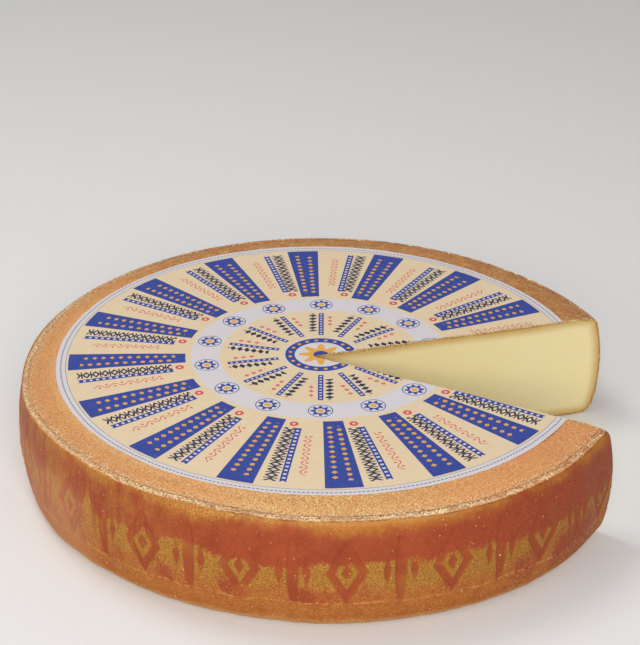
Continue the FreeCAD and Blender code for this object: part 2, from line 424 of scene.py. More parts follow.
def rind_surface(settings, turn, v, lift=0.0):
    """The wheel's outside at (turn, v): its points, the numbers named in STORED, and the map's u and v.

    The section is carried round the cut's point. Heights are added along its normal: a crumbly seam near
    v = 0, broad dents, fine grain where there is no skin, the pressed marks and a ledge below them. Stored
    are the distances from the seam and from the ledge, the shares of skin and of bare grain, how well the
    marks are kept, and how near a place is to the left end, the right end and the brown back of the side.
    """
    wheel, marks, label = settings.wheel, settings.marks, settings.label
    section = Section(wheel)
    turn, v = np.broadcast_arrays(turn, v)
    r, z = section.at(v)
    plain = carry(wheel, turn, r, z)
    around = np.mod(np.arctan2(plain[..., 1], plain[..., 0]), 2 * math.pi)

    def bumps(size, seed, octaves=1, upright=1.0):
        """Rough numbers with bumps about size millimetres wide, and 1/upright times as high."""
        return rough(plain * (1, 1, upright), size * MM, seed, octaves)

    def towards(degrees, low, high):
        """How near a place is to a direction: a ramp of the cosine of the turn between them."""
        return ramp(np.cos(around - math.radians(degrees)), low, high)

    shaky = 0.5 * MM * bumps(9, 21, 2)
    map_u, map_v = around * wheel.radius + shaky, v + shaky * ramp(v, 5 * MM, 15 * MM)
    off = v - 0.8 * MM * bumps(45, 5, 2) - humps(around, SEAM_DRIFT)
    seam = np.exp(-((off / ((3.0 + 0.9 * bumps(24, 7, 2)) * MM)) ** 4))

    down = v / MM
    wander = 5 * bumps(60, 11, 3) + 2.5 * bumps(15, 13, 3)
    left, right = towards(LEFT_END, 0.35, 0.95), towards(RIGHT_END, 0.8, 1.0)
    brown = towards(BROWN_BACK, -0.1, 0.7)
    streaks = ramp(bumps(16, 15, 3, upright=0.3), -0.45, 0.35)
    skin = ramp(down + wander + 5 * right + 6 * left, 0, 23) * (1 - 0.5 * left * streaks)
    patches = ramp(bumps(34, 18, 3), 0.15, 0.7) * (0.35 + 0.1 * right + 0.4 * left)
    smears = ramp(bumps(40, 19, 3, upright=0.6) + 0.3 * right + 0.6 * left, -0.1, 0.8)
    smears = smears * ramp(down + wander + 3 * right, 50, 76)
    start = 42 + 3 * right - 13 * left * streaks
    bare = ramp(down - wander, start, start + 9) * (1 - 0.8 * patches) * (1 - 0.75 * smears)
    bare = np.maximum(bare, ramp(down, 82, 90) * (1 - 0.5 * right))
    worn = 0.55 + 0.45 * ramp(bumps(42, 17, 3), -0.7, -0.2)
    mark = ramp(pressed(marks, map_u, map_v), -1.2 * MM, 1.2 * MM) * worn

    on_side = ramp(down, 5, 13) * (1 - ramp(v, section.foot - 9 * MM, section.foot))
    on_top = 1 - ramp(down, -3, 1)
    from_cut = np.minimum(turn - wheel.back_cut, 2 * math.pi - wheel.front_cut - turn) * r
    dents = ramp(from_cut, 0, 30 * MM) * (0.8 * bumps(80, 27) + 0.4 * bumps(26, 29, 2))
    grain = 0.20 * bumps(3.4, 31) + 0.2 * bumps(9, 33)
    ledge = v - (LEDGE + 2.0 * bumps(30, 35, 3)) * MM
    mounds = 0.35 * bumps(40, 37) + 0.12 * bumps(9, 39) + 0.1 * bumps(3.2, 41)
    ridge = seam * (0.6 + 0.35 * bumps(2.6, 25, 2)) - 0.3 * np.exp(-((off / (0.9 * MM)) ** 2))
    side = dents + bare * grain + 0.5 * ramp(ledge, -0.8 * MM, 0.8 * MM)
    height = MM * (ridge + on_side * side + on_top * mounds) - marks.depth * mark * on_side
    label_reach = reach_of(wheel, turn, label.radius, (label.centre_x, label.centre_y))
    under_label = ramp(label_reach - reach_of(wheel, turn, r), -0.5 * MM, 3 * MM) * on_top
    height = height * (1 - under_label) - 0.25 * MM * under_label
    flat_foot = ramp(v, section.foot - 3 * MM, section.foot)
    height = height * (1 - flat_foot) - 0.2 * MM * flat_foot * np.abs(bumps(30, 43))
    r, z = section.at(v, height + lift)
    points = carry(wheel, turn, r, z)
    stored = dict(zip(STORED, (off, ledge, skin, bare, worn, left, right, brown)))
    return points, stored, np.stack([map_u, map_v], -1)


# ---- meshes

def loop_faces(columns, count, capped=False):
    """Quads between neighbouring columns of a closed loop of count points, and two caps if capped."""
    grid = np.arange(columns * count).reshape(columns, count)
    here, there = grid[:-1], grid[1:]
    quads = np.stack([here, np.roll(here, -1, 1), np.roll(there, -1, 1), there], -1).reshape(-1, 4).tolist()
    return quads + ([grid[0].tolist(), grid[-1].tolist()] if capped else [])


def add_object(name, data):
    """A new object in the scene."""
    thing = bpy.data.objects.new(name, data)
    bpy.context.scene.collection.objects.link(thing)
    return thing


def make_piece(
    name, points, faces, material, values=None, uv=None, caps=0, stands_for="cheese"
):
    """A closed mesh from points and faces, welded, with its faces turned outwards.

    values are numbers stored at the points, uv is the rind's map, and the last faces are caps, left flat. The
    piece takes the material given and stands for the CAD node stands_for.
    """
    mesh = bpy.data.meshes.new(name)
    mesh.from_pydata(np.asarray(points, float).reshape(-1, 3).tolist(), [], [list(f) for f in faces])
    smooth = np.arange(len(mesh.polygons)) < len(mesh.polygons) - caps
    mesh.polygons.foreach_set("use_smooth", smooth.tolist())
    for key, numbers in (values or {}).items():
        layer = mesh.attributes.new(key, "FLOAT", "POINT")
        layer.data.foreach_set("value", np.ravel(numbers).astype(np.float32))
    if uv is not None:
        corner = np.zeros(len(mesh.loops), np.int32)
        mesh.loops.foreach_get("vertex_index", corner)
        layer = mesh.uv_layers.new(name=RIND_MAP)
        layer.data.foreach_set("uv", np.asarray(uv, np.float32).reshape(-1, 2)[corner].ravel())
    work = bmesh.new()
    work.from_mesh(mesh)
    bmesh.ops.remove_doubles(work, verts=work.verts, dist=2e-6)
    bmesh.ops.dissolve_degenerate(work, edges=work.edges, dist=1e-7)
    bmesh.ops.recalc_face_normals(work, faces=work.faces)
    work.to_mesh(mesh)
    work.free()
    mesh.materials.append(material)
    piece = add_object(name, mesh)
    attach(piece, "root")
    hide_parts(stands_for)
    return piece


def rind_shell(settings, name, materials, rows, inner_rows, columns):
    """A shell of the rind: its outside at the rows v, and inside it a plain wall at the inner rows.

    Its two ends, which show as the rind's thickness at the cuts, have the second material.
    """
    turn = turns(settings.wheel, columns, RIND_BACK)[:, None]
    outside, stored, place = rind_surface(settings, turn, rows[None, :])
    r, z = Section(settings.wheel).at(inner_rows[::-1], -SHELL)
    wall = carry(settings.wheel, turn, r, z)
    points = np.concatenate([outside, wall], 1)
    inside = ((0, 0), (0, len(inner_rows)))
    values = {key: np.pad(numbers, inside, "edge") for key, numbers in stored.items()}
    uv = np.pad(place, (*inside, (0, 0)), "edge")
    faces = loop_faces(*points.shape[:2], capped=True)
    piece = make_piece(name, points, faces, materials[0], values, uv, caps=2)
    piece.data.materials.append(materials[1])
    corners = np.zeros(len(piece.data.polygons), np.int32)
    piece.data.polygons.foreach_get("loop_total", corners)
    piece.data.polygons.foreach_set("material_index", (corners > 4).astype(np.int32))


def steps(*runs):
    """Places along a line: each run goes from its start to the next one's with about its own step."""
    parts = [np.linspace(a, b, max(1, round(abs(b - a) / step)), endpoint=False) for a, b, step in runs]
    return np.append(np.concatenate(parts), runs[-1][1])


def paste_piece(settings, material):
    """The paste: a plain body inside the rind whose two ends are the cut faces.

    Its section is the wheel's, set in by the rind. Each end is a net of rings: ring k is the outline
    times 1 - k/n plus k/n times the nearest place on a line along its middle. The face waves gently
    across its plane, and not at its outline. The stored depth is the distance to the rind: a soft minimum
    of the ways down to the base, up to the top and out to the side's arc, so that it is round in the corners.
    """
    wheel = settings.wheel
    section = Section(wheel)
    outline_v = steps((section.start, section.end, 2.0 * MM))
    axis_z = np.linspace(0, wheel.height, 52)[1:-1]  # up the point of the cut

    def loop(inset):
        r, z = section.at(outline_v, -inset)
        return np.append(r, 0 * axis_z), np.append(z, axis_z)

    r, z = loop(wheel.rind)
    count, columns, rings = len(r), 90, 36
    turn = turns(wheel, columns)[:, None]
    deep_r, deep_z = loop(wheel.rind + SHELL)
    at_end = (np.arange(columns) % (columns - 1) == 0)[:, None]
    body_r, body_z = np.where(at_end, r, deep_r), np.where(at_end, z, deep_z)
    blocks = [carry(wheel, turn, body_r, body_z).reshape(-1, 3)]
    faces, depths = loop_faces(columns, count), [np.zeros(columns * count)]
    share = np.linspace(0, 1, rings + 1)[:, None]
    for end, outwards in ((0, 1), (-1, -1)):
        reach = reach_of(wheel, turn[end], r)
        middle = np.clip(reach, wheel.height / 2, reach.max() - wheel.height / 2)
        t = reach * (1 - share) + middle * share
        high = z * (1 - share) + share * wheel.height / 2
        face = lay(wheel, turn[end], t, high)
        ux, uy = math.cos(turn[end][0]), math.sin(turn[end][0])
        inside = np.minimum.reduce([t, np.sqrt((t - reach) ** 2 + (high - z) ** 2) * 2.0])
        wave = 0.35 * rough(face * (1, 1, 2.2), 60 * MM, 51, 2) + 0.05 * rough(face, 6 * MM, 53, 2)
        out = np.array([uy, -ux, 0]) * outwards
        face = face + out * (MM * wave * ramp(inside, 0, 12 * MM))[..., None]
        far = np.hypot(wheel.cut_x + t * ux, wheel.cut_y + t * uy) - wheel.radius + wheel.side_curve
        side = wheel.side_curve - np.hypot(far, high - wheel.bulge_height)
        depth = np.stack([wheel.height - high, high, side, np.full_like(side, DEEPEST)])
        depths.append(np.ravel(-np.log(np.exp(-depth / (2 * MM)).sum(0)) * 2 * MM))
        first = sum(len(block) for block in blocks)
        blocks.append(face.reshape(-1, 3))
        faces += (np.array(loop_faces(rings + 1, count)) + first).tolist()
    values = {"depth": np.concatenate(depths)}
    make_piece("paste", np.concatenate(blocks), faces, material, values)


def label_sheet(settings, material):
    """The paper: a thin closed sheet that follows the top, torn a little along the two cuts.

    Rays run from the cut's point to the label's circle, closer together at both cuts. The top lies one
    thickness above the wheel, and near each cut the sheet is drawn back by e exp(-d / 4 mm), d being the
    distance to the cut and e a rough number.
    """
    wheel, label = settings.wheel, settings.label
    columns, rows = 520, 140
    turn = turns(wheel, columns)[:, None]
    span = turn[-1] - turn[0]
    even = (turn - turn[0]) / span
    turn = turn[0] + span * (even - 0.6 * np.sin(2 * math.pi * even) / (2 * math.pi))
    share = np.linspace(0, 1, rows)[None, :]
    reach = reach_of(wheel, turn, label.radius, (label.centre_x, label.centre_y)) * share
    face = lay(wheel, turn, reach, np.full_like(reach, wheel.height))
    ragged = 0.22 * rough(face, 5 * MM, 61, 2) * ramp(share, 0.9, 1)
    face = lay(wheel, turn, reach + MM * ragged, np.full_like(reach, wheel.height))
    near = ramp(reach, 0, 25 * MM)
    for _, side, inward in cuts(wheel):
        gap = (face[..., 0] - wheel.cut_x) * inward[0] + (face[..., 1] - wheel.cut_y) * inward[1]
        gap = np.where((turn < math.pi) == (side > 0), gap, 1.0)
        torn = MM * (0.9 + 0.8 * rough(face, 9 * MM, 63, 3)) * near
        face[..., :2] += inward[:2] * (np.maximum(torn, 0) * np.exp(-gap / (4 * MM)))[..., None]
    lift = 0.10 * rough(face, 18 * MM, 65, 2) + 0.05 * rough(face, 5 * MM, 67, 2)
    curl = 0.5 * ramp(share, 0.965, 1) * ramp(rough(face, 35 * MM, 69), 0.1, 0.8)
    top = face + np.array([0, 0, 1]) * (label.thickness + MM * (lift + curl))[..., None]
    few = np.linspace(rows - 1, 0, 24).round().astype(int)
    under = face[:, few] - np.array([0, 0, 0.15 * MM])
    under[:, 0, 2] = top[:, -1, 2] - label.thickness
    points = np.concatenate([top, under], 1)
    faces = loop_faces(*points.shape[:2], capped=True)
    piece = make_piece(
        "label_paper", points, faces, material, caps=2, stands_for="label"
    )
    piece.data.set_sharp_from_angle(angle=math.radians(55))


# A lump of 12 points and 20 faces: a ball of triangles.
GOLDEN = (1 + math.sqrt(5)) / 2
LUMP_POINTS = np.array([
    (-1, GOLDEN, 0), (1, GOLDEN, 0), (-1, -GOLDEN, 0), (1, -GOLDEN, 0),
    (0, -1, GOLDEN), (0, 1, GOLDEN), (0, -1, -GOLDEN), (0, 1, -GOLDEN),
    (GOLDEN, 0, -1), (GOLDEN, 0, 1), (-GOLDEN, 0, -1), (-GOLDEN, 0, 1),
]) / math.hypot(1, GOLDEN)
LUMP_FACES = np.array([
    (0, 11, 5), (0, 5, 1), (0, 1, 7), (0, 7, 10), (0, 10, 11), (1, 5, 9), (5, 11, 4), (11, 10, 2), (10, 7, 6),
    (7, 1, 8), (3, 9, 4), (3, 4, 2), (3, 2, 6), (3, 6, 8), (3, 8, 9), (4, 9, 5), (2, 4, 11), (6, 2, 10),
    (8, 6, 7), (9, 8, 1),
])


def lumps(name, middles, sizes, random, material, shade=0.0):
    """Many small lumps as one mesh: each is the ball of 20 faces, stretched, turned and dented at random.

    Stored is each lump's tint: a random number from 0 to 1 plus the shade.
    """
    count = len(middles)
    shape = LUMP_POINTS[None] * (1 + 0.35 * random.uniform(-1, 1, (count, 12, 1)))
    shape = shape * random.uniform(0.6, 1.3, (count, 1, 3))
    first = random.normal(size=(count, 3))
    second = np.cross(first, random.normal(size=(count, 3)))
    first /= np.linalg.norm(first, axis=1)[:, None]
    second /= np.linalg.norm(second, axis=1)[:, None]
    turned = np.stack([first, second, np.cross(first, second)], 1)
    points = np.einsum("nij,njk->nik", shape, turned) * sizes[:, None, None] / 2 + middles[:, None]
    faces = (LUMP_FACES[None] + 12 * np.arange(count)[:, None, None]).reshape(-1, 3)
    tint = np.repeat(random.uniform(0, 1, count) + shade, 12)
    make_piece(name, points, faces.tolist(), material, {"tint": tint})


# ---- materials

def linear(screen):
    """A screen colour as the light it stands for."""
    return [c / 12.92 if c <= 0.04045 else ((c + 0.055) / 1.055) ** 2.4 for c in screen]


def math_call(operation, swapped=False):
    """A method of Field that adds one Math node. The Field is its first value or, if swapped, its last."""
    def method(self, *others):
        return self.math(operation, *((*others, self) if swapped else (self, *others)))
    return method


class Field:
    """A number or colour that varies over a surface. Arithmetic on it adds Math nodes to its material."""

    def __init__(self, finish, socket):
        self.finish, self.socket = finish, socket

    def math(self, operation, *values, clamp=False):
        node = self.finish.tree.nodes.new("ShaderNodeMath")
        node.operation, node.use_clamp = operation, clamp
        for pin, value in zip(node.inputs, values):
            self.finish.feed(pin, value)
        return Field(self.finish, node.outputs[0])

    __add__ = __radd__ = math_call("ADD")
    __sub__, __rsub__ = math_call("SUBTRACT"), math_call("SUBTRACT", swapped=True)
    __mul__ = __rmul__ = math_call("MULTIPLY")
    __truediv__, __mod__ = math_call("DIVIDE"), math_call("FLOORED_MODULO")
    __abs__, __gt__ = math_call("ABSOLUTE"), math_call("GREATER_THAN")
    sine, cosine, root = math_call("SINE"), math_call("COSINE"), math_call("SQRT")
    angle = math_call("ARCTAN2")  # the angle whose tangent is this over the other
    over, under = math_call("MAXIMUM"), math_call("MINIMUM")  # the larger and the smaller of the two

    def step(self, low, high):
        """Smooth step from 0 at low to 1 at high."""
        field = self.finish.add("MapRange", "Result", Value=self, From_Min=low, From_Max=high)
        field.socket.node.interpolation_type = "SMOOTHSTEP"
        return field

    def past(self, low, high):
        """Smooth step of a length, from 0 at low to 1 at high, both in millimetres."""
        return self.step(low * MM, high * MM)

    def spread(self, width):
        """Noise made a length: half the width, in millimetres, to each side of 0."""
        return (self - 0.5) * (width * MM)

    def wave(self, pitch):
        """Sine of a length that repeats after a pitch in millimetres."""
        return (self * (2 * math.pi / (pitch * MM))).sine()


class Finish:
    """A material being made: one Principled shader, and calls that add the fields which feed it."""

    def __init__(self, name):
        self.material = bpy.data.materials.new(name)
        self.material.use_nodes = True
        self.tree = self.material.node_tree
        self.tree.nodes.clear()
        self.shader = self.tree.nodes.new("ShaderNodeBsdfPrincipled")
        output = self.tree.nodes.new("ShaderNodeOutputMaterial")
        self.tree.links.new(self.shader.outputs[0], output.inputs["Surface"])
        self.place = self.add("TexCoord", "Object")

    def feed(self, pin, value):
        """Links a Field to an input, or sets a plain number or colour on it."""
        if isinstance(value, Field):
            self.tree.links.new(value.socket, pin)
        elif isinstance(value, (int, float)):
            pin.default_value = value
        else:
            pin.default_value = (*linear(value), 1)

    def set(self, **values):
        """Sets the shader's inputs; a word's underscores are the input's spaces."""
        for key, value in values.items():
            pin = next(p for p in self.shader.inputs if p.name.lower() == key.replace("_", " ").lower())
            if isinstance(value, (tuple, list)) and pin.type == "VECTOR":
                pin.default_value = value
            else:
                self.feed(pin, value)

    def add(self, kind, output=0, **inputs):
        """Adds a node, feeds the inputs named, _ being a space in a name, and gives one of its outputs."""
        node = self.tree.nodes.new("ShaderNode" + kind)
        for name, value in inputs.items():
            self.feed(node.inputs[name.replace("_", " ")], value)
        return Field(self, node.outputs[output])

    def split(self, vector):
        node = self.add("SeparateXYZ", Vector=vector).socket.node
        return [Field(self, out) for out in node.outputs]

    def join(self, x, y, z):
        return self.add("CombineXYZ", X=x, Y=y, Z=z)

    def rind_map(self):
        """u and v of the rind's map, in metres."""
        place = self.add("UVMap")
        place.socket.node.uv_map = RIND_MAP
        return self.split(place)[:2]

    def stored(self, name):
        """Numbers stored at the mesh's points."""
        numbers = self.add("Attribute", "Fac")
        numbers.socket.node.attribute_name = name
        return numbers

    def noise(self, size, detail=2.0, roughness=0.55, where=None):
        """Noise from 0 to 1 with bumps about size millimetres wide."""
        place, scale = where or self.place, 1 / (size * MM)
        return self.add("TexNoise", Vector=place, Scale=scale, Detail=detail, Roughness=roughness)

    def cells(self, size):
        """Cells about size millimetres wide: the distance from the middle of each."""
        return self.add("TexVoronoi", "Distance", Vector=self.place, Scale=1 / (size * MM))

    def mix(self, share, first, second):
        """first where share is 0, second where it is 1."""
        node = self.tree.nodes.new("ShaderNodeMix")
        node.data_type = "RGBA"
        pins = [p for p in node.inputs if p.type == "RGBA"]
        for pin, value in zip((node.inputs[0], *pins), (share, first, second)):
            self.feed(pin, value)
        return Field(self, next(out for out in node.outputs if out.type == "RGBA"))

    def coats(self, look, *coats):
        """A colour with others laid over it one after another, each where its share is 1."""
        for share, colour in coats:
            look = self.mix(share, look, colour)
        return look

    def bump(self, height, strength=1.0):
        """Tilts the surface by a height in metres."""
        tilt = self.add("Bump", Height=height, Strength=strength, Distance=1.0)
        self.feed(self.shader.inputs["Normal"], tilt)


def rind_finish(settings):
    """Rind: a cloth-printed grain on top, skin and grain on the side, and a crumbly seam between them."""
    c = settings.colours
    rind = Finish("rind")
    x, y, _ = rind.split(rind.place)
    u, v = rind.rind_map()
    broad, patch, blotch = rind.noise(60, 3), rind.noise(14, 3), rind.noise(5)
    fine = rind.noise(1, 0)
    mound = (rind.noise(1.7, 1, 0.6) - 0.5) * 0.65 + (fine - 0.5) * 0.8  # about -0.3 to 0.3
    off, ledge, skin, bare, worn, left, right, brown = (rind.stored(name) for name in STORED)
    ends = left.over(right)
    on_side = (off + blotch.spread(2)).past(2, 4)

    # Top: threads crossing at right angles, pushed about by noise, leave rows of small mounds.
    sway = rind.noise(7, 1).spread(3)
    weave = (x + sway).wave(2.6) * (y - sway).wave(4.4) * broad.step(0.35, 0.60)
    cloth = (mound + weave * 0.10) * (1 + x.step(0.10, 0.28) * 0.6)
    # The mounds are paler and the pits darker: partly the grain's own colour, partly painted highlight and
    # painted shade.
    top = rind.coats(
        c.top_dark,
        (cloth.step(-0.26, 0.0), c.top),
        (cloth.step(0.02, 0.30), c.top_light),
        ((patch + (blotch - 0.5) * 0.4).step(0.48, 0.66) * 0.22, c.top_warm),
        (abs(x).past(30, 130) * 0.30, c.top_warm),
        (x.step(0.10, 0.30) * blotch.step(0.35, 0.65) * 0.15, c.top_dark),
        (left * v.past(-30, -6) * 0.30, c.top_dark),
        (left * (1 - v.past(-36, -16)) * 0.25, c.top_light),
        (right * 0.3, c.top_warm),
        (brown * (0.25 + patch * 0.6), c.rind_edge),
        (brown * (blotch * 0.6 + patch * 0.4).step(0.42, 0.58) * 0.8, c.top_dark),
        (brown * mound.step(0.08, 0.28) * 0.4, c.top_light),
    )

    # Side: grainy olive, gold under the seam, smooth red-brown skin, and pressed marks of the same skin.
    ledge = ledge + mound * (1.5 * MM)
    foot = rind.coats(
        c.foot,
        ((1 - mound.step(-0.26, 0.02)) * 0.45, c.olive_dark),
        (mound.step(0.02, 0.28) * 0.40, c.fleck_and_highlight),
        ((patch + (fine - 0.5) * 0.3).step(0.50, 0.70) * 0.45, c.skin),
        (ledge.past(17, 22) * mound.step(-0.25, 0.1) * 0.3, c.fleck_and_highlight),
    )
    olive = rind.coats(
        c.olive_dark,
        (mound.step(-0.22, 0.03), c.olive),
        (mound.step(0.04, 0.28) * 0.35, c.fleck_and_highlight),
        (patch.step(0.45, 0.70) * 0.4, c.gold),
        # Painted shade: the grain is darker at the right end.
        (right * 0.3, c.olive_dark),
    )
    low = (ledge + broad.spread(40) + blotch.spread(10)).past(-24, -6)
    ground = rind.mix(low.over(ledge.past(-1, 2)), olive, foot)
    near_seam = 1 - (v + blotch.spread(6)).past(3, 11)
    grainy = left.over(1 - abs(u / settings.wheel.radius - GRAINIEST).step(0.3, 0.6))
    gold = rind.coats(
        c.gold,
        ((mound.step(-0.10, 0.20) + ends * 0.6) * 0.4, c.olive),
        ((patch + blotch - v * 16).step(0.86, 1.10) * 0.6, c.olive),
        # A paler gold strip just under the seam: partly the rind's own colour, partly painted highlight.
        (near_seam * (0.35 - ends * 0.3), c.seam_gold),
        (left * 0.4, c.olive),
        (grainy * (1 - mound.step(-0.20, 0.02)) * 0.7, c.olive_dark),
        (mound.step(0.06, 0.26) * (grainy * 0.4 + 0.3), c.fleck_and_highlight),
    )
    streak = rind.noise(4, 3, where=rind.join(u, v * 0.15, 0.0))
    red = rind.coats(
        c.skin,
        # Dark patches of the skin, and painted shade over the skin at the right end.
        ((rind.noise(24, 4).step(0.36, 0.66) * 0.75).over(right * 0.8), c.skin_dark),
        ((mound + (blotch - 1 + ends * 0.6) * 0.5).step(-0.02, 0.28) * (0.5 - right * 0.25), c.gold),
        ((1 - mound.step(-0.24, -0.04)) * (0.3 + ends * 0.6) * 0.6, c.skin_dark),
        (left * 0.3, c.skin_dark),
        (left * streak.step(0.50, 0.62) * 0.30, c.olive),
        (left * (1 - streak.step(0.36, 0.46)) * 0.3, c.skin_dark),
    )
    bare = (bare + mound * 1.2 + (blotch - 0.5) * 0.7).step(0.15, 0.85)
    frayed = mound * 3 + (blotch - 0.5) * 3.5 + (patch - 0.5) * 2.5
    skin = (skin + frayed * skin * (1 - skin)).step(0.0, 1.0)
    inside = pressed(settings.marks, u, v) + mound * (1.6 * MM)
    mark = inside.past(-0.4, 0.5) * (worn + mound * 0.7).step(0.25, 0.75)
    side = rind.coats(
        gold,
        (skin, red),
        (bare, ground),
        (mark * 0.9, red),
        # Painted shade: a darker rim just outside each pressed mark.
        (inside.past(-1.6, -0.3) * (1 - inside.past(-0.3, 0.4)) * 0.3, c.skin_dark),
        # Painted highlight: a pale line along the ledge below the marks.
        ((1 - abs(ledge).past(0.3, 1.3)) * blotch.step(0.40, 0.60) * 0.30, c.fleck_and_highlight),
        ((1 - rind.cells(7).step(0.07, 0.12)) * patch.step(0.42, 0.60) * 0.7, c.fleck_and_highlight),
        # Painted sheen on the left end of the side, stronger lower down.
        (left.step(0.85, 1.0) * (v.past(25, 50) * 0.22 + 0.05) * (patch + 0.5), c.painted_sheen),
        (v.past(105, 109) * 0.5, c.seam_gold),
    )

    # Seam: pale crumbs in some stretches of a worn band, and broken dark lines along it.
    crumb, clump = rind.noise(2.2, 1.5, 0.7), rind.noise(11)
    pale = (rind.noise(45, 1) + (clump - 0.5) * 0.9).step(0.40, 0.56) * (1 - (right * 0.2).over(brown * 0.7))
    crumbly = rind.coats(
        c.seam_dark,
        (
            crumb.step(0.32, 0.44),
            # The band is darker at the brown back, which is its own colour, and at the right end, which is
            # painted shade.
            rind.coats(c.seam_band, (left, c.seam_gold), ((brown * 0.7).over(right * 0.8), c.top_dark)),
        ),
        (crumb.step(0.43, 0.54) * (pale * 0.85 + 0.1).over(left * 0.7), c.seam),
    )
    shaken = off + blotch.spread(2.4) + clump.spread(3.0) + mound * (1.2 * MM)
    across = abs(shaken)
    band = (1 - across.past(2.6, 5.6)) * (0.55 - brown.over(right) * 0.45)
    share = 1 - (across + ends * (1.2 * MM)).past(1.4, 3.4)
    dust = (1 - (off * -1 + patch.spread(12)).past(3, 14)) * (1 - on_side) * (1 - brown)
    inner = (1 - abs(shaken + 3.2 * MM).past(0.1, 0.7)) * (1 - left * 0.7)
    outer = 1 - abs(shaken - 3.4 * MM).past(0.1, 0.7)
    lines = (inner * clump.step(0.36, 0.56).over(right)).over(outer * (1 - pale * 0.8) * (1 - left * 0.8))
    look = rind.coats(
        top,
        (on_side, side),
        (band * (1 - on_side), c.seam_band),
        (dust * crumb.step(0.52, 0.60) * 0.55, c.seam),
        (dust * (1 - crumb.step(0.36, 0.44)) * 0.35, c.seam_dark),
        (share * 0.85, crumbly),
        (lines * 0.65, c.seam_dark),
        # Painted shade: the side just under the seam is darker at the right end.
        ((1 - across.past(3, 8)) * right * on_side * 0.3, c.skin_dark),
    )

    relief = cloth * (1 - on_side) + mound * on_side * (bare + 0.25) * (1 - mark * 0.6)
    relief = relief * (0.9 * MM) + share * crumb * (0.8 * MM) - mark * (0.3 * MM)
    rind.bump(relief - lines * (0.5 * MM))
    rind.set(base_color=look, roughness=0.62 - 0.10 * skin * on_side * (1 - bare), specular_ior_level=0.2)
    return rind.material


def rind_cut_finish(settings):
    """Rind where it is cut through: amber, with darker and paler grains."""
    c = settings.colours
    edge = Finish("rind_cut")
    grain = edge.noise(1.4, 1)
    look = edge.coats(
        c.rind_edge,
        (grain.step(0.36, 0.5), c.paste_edge),
        (grain.step(0.52, 0.64) * 0.7, c.seam),
    )
    edge.bump(grain * (0.2 * MM))
    edge.set(base_color=look, roughness=0.65 - grain * 0.1, specular_ior_level=0.25)
    return edge.material


def paste_finish(settings):
    """Paste: even pale yellow, darker and amber towards the rind."""
    c = settings.colours
    paste = Finish("paste")
    cloud, fine = paste.noise(45, 3), paste.noise(2.5, 3)
    depth = paste.stored("depth") + cloud.spread(5) + fine.spread(1.5)
    look = paste.coats(
        c.paste,
        (cloud.step(0.3, 0.7) * 0.35, c.paste_warm),
        (1 - depth.past(0.5, 13), c.paste_edge),
        (1 - depth.past(0.3, 2.4), c.rind_edge),
    )
    paste.bump((fine * 0.10 + paste.noise(3) * 0.06) * MM)
    paste.set(base_color=look, roughness=0.46 + (fine - 0.5) * 0.16, specular_ior_level=0.4)
    paste.set(subsurface_weight=0.18, subsurface_radius=PASTE_GLOW, subsurface_scale=3 * MM)
    return paste.material


def crumb_finish(name, first, second):
    """Crumbs: each lump has its own tint between two colours, and a rough skin."""
    crumb = Finish(name)
    tint = crumb.stored("tint") + (crumb.noise(40) - 0.42) * 3
    grain = crumb.noise(0.7)
    crumb.bump(grain * (0.15 * MM))
    crumb.set(base_color=crumb.mix((tint + (grain - 0.5) * 0.5).step(0.1, 0.9), first, second))
    crumb.set(roughness=0.62 + (grain - 0.5) * 0.2, specular_ior_level=0.35)
    return crumb.material


def inked(distance_inside):
    """Share of ink from the distance inside a shape's edge."""
    return distance_inside.math("MULTIPLY_ADD", distance_inside, 1 / INK_EDGE, 0.5, clamp=True)


